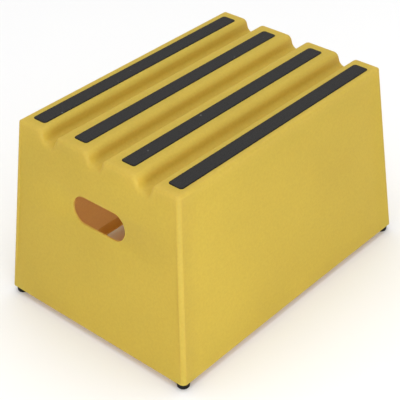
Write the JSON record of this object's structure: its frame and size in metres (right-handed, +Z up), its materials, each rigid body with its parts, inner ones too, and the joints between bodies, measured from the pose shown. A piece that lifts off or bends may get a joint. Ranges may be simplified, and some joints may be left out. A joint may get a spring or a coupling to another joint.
{
  "type": "mounting block",
  "caption": "Hollow moulded single-step block with flared sides, raised treads with grit strips, hand holes in both ends and rubber feet.",
  "frame": {"origin": "centre of the base on the floor, under the feet", "axes": "+Z up, X along the length with the front hand hole at -X, Y across the treads with left at +Y"},
  "size_m": [0.534, 0.374, 0.318],
  "materials": {
    "moulded_polyethylene": "matte, faint orange-peel texture",
    "grit_tape": "coarse mineral grit",
    "foot_rubber": "matte",
    "zinc_steel": "zinc plated"
  },
  "bodies": {
    "root": {"body": "moulded_polyethylene", "grip_strip_outer_left": "grit_tape", "grip_strip_inner_left": "grit_tape", "grip_strip_inner_right": "grit_tape", "grip_strip_outer_right": "grit_tape", "foot_front_left": "foot_rubber", "foot_front_right": "foot_rubber", "foot_rear_left": "foot_rubber", "foot_rear_right": "foot_rubber", "foot_insert_front_left": "zinc_steel", "foot_insert_front_right": "zinc_steel", "foot_insert_rear_left": "zinc_steel", "foot_insert_rear_right": "zinc_steel", "foot_screw_front_left": "zinc_steel", "foot_screw_front_right": "zinc_steel", "foot_screw_rear_left": "zinc_steel", "foot_screw_rear_right": "zinc_steel", "backing_washer_front_left": "zinc_steel", "backing_washer_front_right": "zinc_steel", "backing_washer_rear_left": "zinc_steel", "backing_washer_rear_right": "zinc_steel", "lock_nut_front_left": "zinc_steel", "lock_nut_front_right": "zinc_steel", "lock_nut_rear_left": "zinc_steel", "lock_nut_rear_right": "zinc_steel"}
  },
  "joints": []
}
